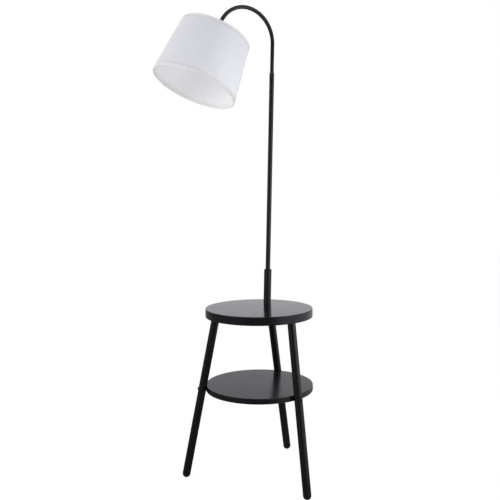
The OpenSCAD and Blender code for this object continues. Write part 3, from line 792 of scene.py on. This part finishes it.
body_outline = [(neck_radius, neck_top), (neck_radius, shoulder_top)]
body_outline += bow((shoulder_radius - soft, shoulder_top + soft), soft, -90, 0, soft_points)
body_outline += bow((shoulder_radius - soft, shoulder_end - soft), soft, 0, 90, soft_points)
body_outline += straight((body_radius, shoulder_end), (body_radius, skirt_end - soft), body_points)
body_outline += bow((body_radius - soft, skirt_end - soft), soft, 10, 90, soft_points)
body_outline += bow((body_bore + soft, skirt_end - soft), soft, 90, 180, soft_points)
body_outline += [(body_bore, core_end), (core_bore, core_end), (core_bore, neck_top)]
body = spin("holder_body_threaded", body_outline, thread_steps, shade_frame, black_plastic, push=threaded)
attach(body, "arm")
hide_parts("holder_body")
print("thread crests on the body:", round((body_end - body_start) / body_pitch))

# %% [markdown]
# ## Welds on the shade's wires
#
# The spokes are resistance-welded to the ring and to the hub, then everything is painted
# white. Each weld leaves a small swollen bead where the two wires have run together. Blender's
# own sphere would do, but the lathe is at hand and names and places the piece in one call, so
# a bead is an arc on the lathe, one at each end of every spoke.

# %% Weld beads on the shade's carrier
spoke_angles = (30, 150, 270)
# Radius and depth of the two ends of a spoke
weld_places = {"hub": (28.4 * mm, 13.2 * mm), "ring": (111.4 * mm, 2.4 * mm)}
weld_radius, weld_steps, weld_points = 2.3 * mm, 20, 11


def weld_bead(name, middle):
    arc = bow((0, 0), weld_radius, -80, 80, weld_points)
    outline = [(0.0, -weld_radius)] + arc + [(0.0, weld_radius)]
    return spin(name, outline, weld_steps, Matrix.Translation(middle), white_wire, closed=False)


for number, spoke_angle in enumerate(spoke_angles):
    for place_name, (radius, depth) in weld_places.items():
        turn = math.radians(spoke_angle)
        middle = shade_frame @ Vector((radius * math.cos(turn), radius * math.sin(turn), depth))
        bead_piece = weld_bead("weld_" + place_name + "_" + str(number + 1), middle)
        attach(bead_piece, "arm")
print("welds:", len(spoke_angles) * len(weld_places))

# %% [markdown]
# ## What the black pieces mirror
#
# The picture is a plain white studio, but black lacquer and black tubes take their look from
# what they mirror, so the room matters as much as the paint. Light Path tells which ray asks:
# the camera gets a white floor and a white wall, a mirror ray gets the studio as it would
# stand there, and the light that falls on the lamp comes from the lamps and an even sky. In
# the mirrors the studio is dim on the camera's side, which keeps the black surfaces black
# where they face us, brighter to the right than to the left, and a little cool.

# %% The studio's level in a mirror
right_level, front_level = 0.68, 0.05
front_starts, front_ends = -0.97, -0.6
mirror_hex = "#f8f7ff"


def room_level(tree, direction, left_level):
    """How bright the studio looks in a direction: dim by the camera, brighter to the right."""
    axes = add(tree, "SeparateXYZ", links={"Vector": direction})
    side = add(tree, "MapRange", {"From Min": -1.0, "From Max": 1.0,
                                  "To Min": left_level, "To Max": right_level}, {"Value": axes.outputs["X"]})
    front = add(tree, "MapRange", {"From Min": front_starts, "From Max": front_ends,
                                   "To Min": front_level, "To Max": 1.0,
                                   "interpolation_type": "SMOOTHSTEP"}, {"Value": axes.outputs["Y"]})
    both = add(tree, "Math", {"operation": "MULTIPLY"},
               {0: side.outputs["Result"], 1: front.outputs["Result"]})
    return both.outputs[0]


def mirror_cast(tree, rays):
    """White, but slightly cool for a mirror ray."""
    cast = add(tree, "MixRGB", {"Color1": linear("#ffffff"), "Color2": linear(mirror_hex)},
               {"Fac": rays.outputs["Is Glossy Ray"]})
    return cast.outputs["Color"]


print("mirrored studio: right", right_level, "front", front_level)

# %% [markdown]
# ## The floor
#
# The picture is a plain white studio whose floor runs into the backdrop without a line. A
# curved backdrop could be modelled, but its bend would show in the lacquer. One flat sheet,
# so large that its far edge lies near the horizon, meets a white world just as cleanly.

# %% White studio floor
floor_reach = 30
floor_mesh = bpy.data.meshes.new("studio_floor")
floor_corners = [(x * floor_reach, y * floor_reach, 0) for x, y in ((-1, -1), (1, -1), (1, 1), (-1, 1))]
floor_mesh.from_pydata(floor_corners, [], [(0, 1, 2, 3)])
floor = bpy.data.objects.new("studio_floor", floor_mesh)
bpy.context.scene.collection.objects.link(floor)
floor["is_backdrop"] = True
print("floor:", 2 * floor_reach, "m wide")

# %% [markdown]
# ## The floor's paint
#
# The tree has two halves. One is a white diffuse paint, which catches the lamp's shadow and
# sends light back up to it. The other is an emission whose strength depends on the ray: just
# over 1 for the camera, so that the sheet is plain white, and the studio's level for a
# mirror. There the floor is dim near the lamp, which shades it, and dimmer on the left.
# Distance and direction come from the sheet's own coordinates, with their origin below the
# lamp. For a ray that sees the floor, a tenth of the paint is mixed in, which keeps the
# shadow faintly there.

# %% Finish of the floor
floor_glow, floor_white, floor_left = 0.9, 1.04, 0.05
near_dim, near_edge, far_edge = 0.15, 0.5, 2.0

floor_paint = bpy.data.materials.new("white_studio_floor")
floor_paint.use_nodes = True
tree = floor_paint.node_tree
tree.nodes.clear()
rays = add(tree, "LightPath")
seen = add(tree, "Math", {"operation": "MAXIMUM"},
           {0: rays.outputs["Is Camera Ray"], 1: rays.outputs["Is Glossy Ray"]})
seen = add(tree, "Math", {"operation": "MAXIMUM"},
           {0: seen.outputs[0], 1: rays.outputs["Is Transmission Ray"]})
share = add(tree, "Math", {"operation": "MULTIPLY", 1: floor_glow}, {0: seen.outputs[0]})
place = add(tree, "TexCoord").outputs["Object"]
away = add(tree, "VectorMath", {"operation": "LENGTH"}, {0: place})
course = add(tree, "VectorMath", {"operation": "NORMALIZE"}, {0: place})
sheet = add(tree, "MapRange", {"From Min": near_edge, "From Max": far_edge, "To Min": near_dim, "To Max": 1.0,
                               "interpolation_type": "SMOOTHSTEP"}, {"Value": away.outputs["Value"]})
room = room_level(tree, course.outputs["Vector"], floor_left)
mirrored = add(tree, "Math", {"operation": "MULTIPLY"}, {0: sheet.outputs["Result"], 1: room})
level = add(tree, "Mix", {"data_type": "FLOAT", 2: floor_white},
            {0: rays.outputs["Is Glossy Ray"], 3: mirrored.outputs[0]})
paint = add(tree, "BsdfDiffuse", {"Color": linear("#e8e8e8")})
glow = add(tree, "Emission", links={"Color": mirror_cast(tree, rays), "Strength": level.outputs[0]})
both = add(tree, "MixShader", links={0: share.outputs[0], 1: paint.outputs[0], 2: glow.outputs[0]})
add(tree, "OutputMaterial", links={"Surface": both.outputs[0]})
floor_mesh.materials.append(floor_paint)
print("floor in the mirrors:", near_dim, "within", near_edge, "m, full beyond", far_edge, "m")

# %% [markdown]
# ## The walls and the ceiling in the mirrors
#
# The boards lie flat and are seen at a low angle, so they mirror a low strip of the wall
# behind the lamp: that strip sets their grey. The tubes and legs mirror the whole room. So
# the world is drawn as a room would be: a bright wall behind that dims towards its top, a
# ceiling, a thin pale line along the horizon, and side walls that are dim overhead. Heights
# are given as the upward part of a direction, from 0 at the horizon to 1 straight up.

# %% The room as a mirror sees it
back_level, back_starts, back_full = 1.08, 0.62, 0.92
top_dim, top_starts, top_ends = 0.2, 0.08, 0.43
ceiling_level, ceiling_starts, ceiling_full = 0.6, 0.35, 0.8
horizon_level, horizon_full, horizon_ends = 0.22, 0.10, 0.17
wall_left, overhead_dim, overhead_starts, overhead_ends = 0.2, 0.3, 0.10, 0.25


def mirrored_room(tree, course):
    """The strength of the world for a mirror ray that leaves in the direction course."""
    axes = add(tree, "SeparateXYZ", links={"Vector": course})
    behind = add(tree, "MapRange", {"From Min": back_starts, "From Max": back_full,
                                    "To Min": 0.0, "To Max": back_level,
                                    "interpolation_type": "SMOOTHSTEP"}, {"Value": axes.outputs["Y"]})
    above = add(tree, "MapRange", {"From Min": top_starts, "From Max": top_ends,
                                   "To Min": 1.0, "To Max": top_dim}, {"Value": axes.outputs["Z"]})
    back = add(tree, "Math", {"operation": "MULTIPLY"},
               {0: behind.outputs["Result"], 1: above.outputs["Result"]})
    ceiling = add(tree, "MapRange", {"From Min": ceiling_starts, "From Max": ceiling_full,
                                     "To Min": 0.0, "To Max": ceiling_level,
                                     "interpolation_type": "SMOOTHSTEP"}, {"Value": axes.outputs["Z"]})
    horizon = add(tree, "MapRange", {"From Min": horizon_full, "From Max": horizon_ends,
                                     "To Min": horizon_level, "To Max": 0.0}, {"Value": axes.outputs["Z"]})
    bands = add(tree, "Math", {"operation": "ADD"},
                {0: ceiling.outputs["Result"], 1: horizon.outputs["Result"]})
    overhead = add(tree, "MapRange", {"From Min": overhead_starts, "From Max": overhead_ends,
                                      "To Min": 1.0, "To Max": overhead_dim}, {"Value": axes.outputs["Z"]})
    walls = add(tree, "Math", {"operation": "MULTIPLY"},
                {0: room_level(tree, course, wall_left), 1: overhead.outputs[0]})
    sides = add(tree, "Math", {"operation": "MAXIMUM"}, {0: bands.outputs[0], 1: walls.outputs[0]})
    return add(tree, "Math", {"operation": "MAXIMUM"}, {0: back.outputs[0], 1: sides.outputs[0]}).outputs[0]


print("mirrored back wall:", back_level, "ceiling:", ceiling_level, "horizon:", horizon_level)

# %% [markdown]
# ## The world
#
# A photograph of a studio could be wrapped round the scene, but its lamps could then not be
# set one by one. So one Background node gives three answers: 1 to the camera, which is white,
# the mirrored room to mirror and glass rays, and an even level to everything else. That even
# sky is most of the soft light on the shade, and at this level its cloth renders about as its
# colour is written.

# %% White studio world
ambient = 0.785
world = bpy.data.worlds.new("white_studio")
bpy.context.scene.world = world
world.use_nodes = True
tree = world.node_tree
tree.nodes.clear()
course = add(tree, "TexCoord").outputs["Generated"]
rays = add(tree, "LightPath")
mirror = add(tree, "Math", {"operation": "MAXIMUM"},
             {0: rays.outputs["Is Glossy Ray"], 1: rays.outputs["Is Transmission Ray"]})
room = add(tree, "Mix", {"data_type": "FLOAT", 2: ambient},
           {0: mirror.outputs[0], 3: mirrored_room(tree, course)})
level = add(tree, "Mix", {"data_type": "FLOAT", 3: 1.0},
            {0: rays.outputs["Is Camera Ray"], 2: room.outputs[0]})
sky = add(tree, "Background", links={"Color": mirror_cast(tree, rays), "Strength": level.outputs[0]})
add(tree, "OutputWorld", links={"Surface": sky.outputs[0]})
print("even light on the lamp:", ambient)

# %% [markdown]
# ## Softboxes
#
# Two tall softboxes light the shade from both sides, the left one a little stronger, and a
# low one stands for the light that a white floor throws up into its mouth. They are hidden
# from mirror rays, so that their light can be set for the white pieces without drawing a
# window on each black one.

# %% Lamps that light the shade
def softbox(name, position, target, size, watts, glossy=True):
    data = bpy.data.lights.new(name, "AREA")
    data.shape = "RECTANGLE"
    data.size, data.size_y = size
    data.energy = watts
    lamp = bpy.data.objects.new(name, data)
    bpy.context.scene.collection.objects.link(lamp)
    lamp.location = position
    lamp.rotation_euler = (Vector(target) - Vector(position)).to_track_quat("-Z", "Y").to_euler()
    lamp.visible_glossy = glossy
    print(name, round(watts, 1), "W")
    return lamp


tall_box, low_box = (0.8, 1.8), (1.2, 0.8)
lamp_middle, shade_mouth = (0, 0, 1.0), (-0.1, -0.1, 1.3)
softbox("right_softbox", (2.4, -0.6, 1.5), lamp_middle, tall_box, 26, glossy=False)
softbox("left_softbox", (-2.4, -0.8, 1.5), lamp_middle, tall_box, 29, glossy=False)
softbox("floor_bounce", (-0.4, -1.9, 0.25), shade_mouth, low_box, 8, glossy=False)

# %% [markdown]
# ## Cards for the tubes
#
# A photographer stands white cards beside a black tube to draw a bright line down each side
# of it. The two cards here do only that: they show in mirrors and give no other light. Their
# power is worked out from the brightness that a card should have in the mirror, because a
# larger card of the same power would look darker.

# %% Lamps that only shine in mirrors
card_bottom, card_top, card_distance = 0.55, 1.55, 1.9


def card(name, bearing, width, radiance):
    """bearing is the card's direction in degrees, from the camera's side round to the right."""
    turn = math.radians(bearing)
    middle, height = (card_bottom + card_top) / 2, card_top - card_bottom
    position = Vector((math.sin(turn) * card_distance, -math.cos(turn) * card_distance, middle))
    watts = radiance * math.pi * width * height
    lamp = softbox(name, position, (0, 0, middle), (width, height), watts)
    lamp.visible_diffuse = False


card("right_card", 60, 1.6, 1.5)
card("left_card", -58, 1.3, 0.9)
print("cards stand", card_distance, "m from the lamp's middle")

# %% [markdown]
# ## View and sizes
#
# The Standard view shows a colour as it is written, which suits a white studio. Last of all
# come the two boxes that have to agree: the frame's, kept from the start, and the dressed
# lamp's, and the script prints how far apart they lie.

# %% View settings, sizes and the end
bpy.context.scene.view_settings.view_transform = "Standard"
growth = max(abs(a - b) for old, new in zip(cad_box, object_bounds()) for a, b in zip(old, new))
print("dressed lamp against the frame's box:", round(growth / mm, 1), "mm apart at most")
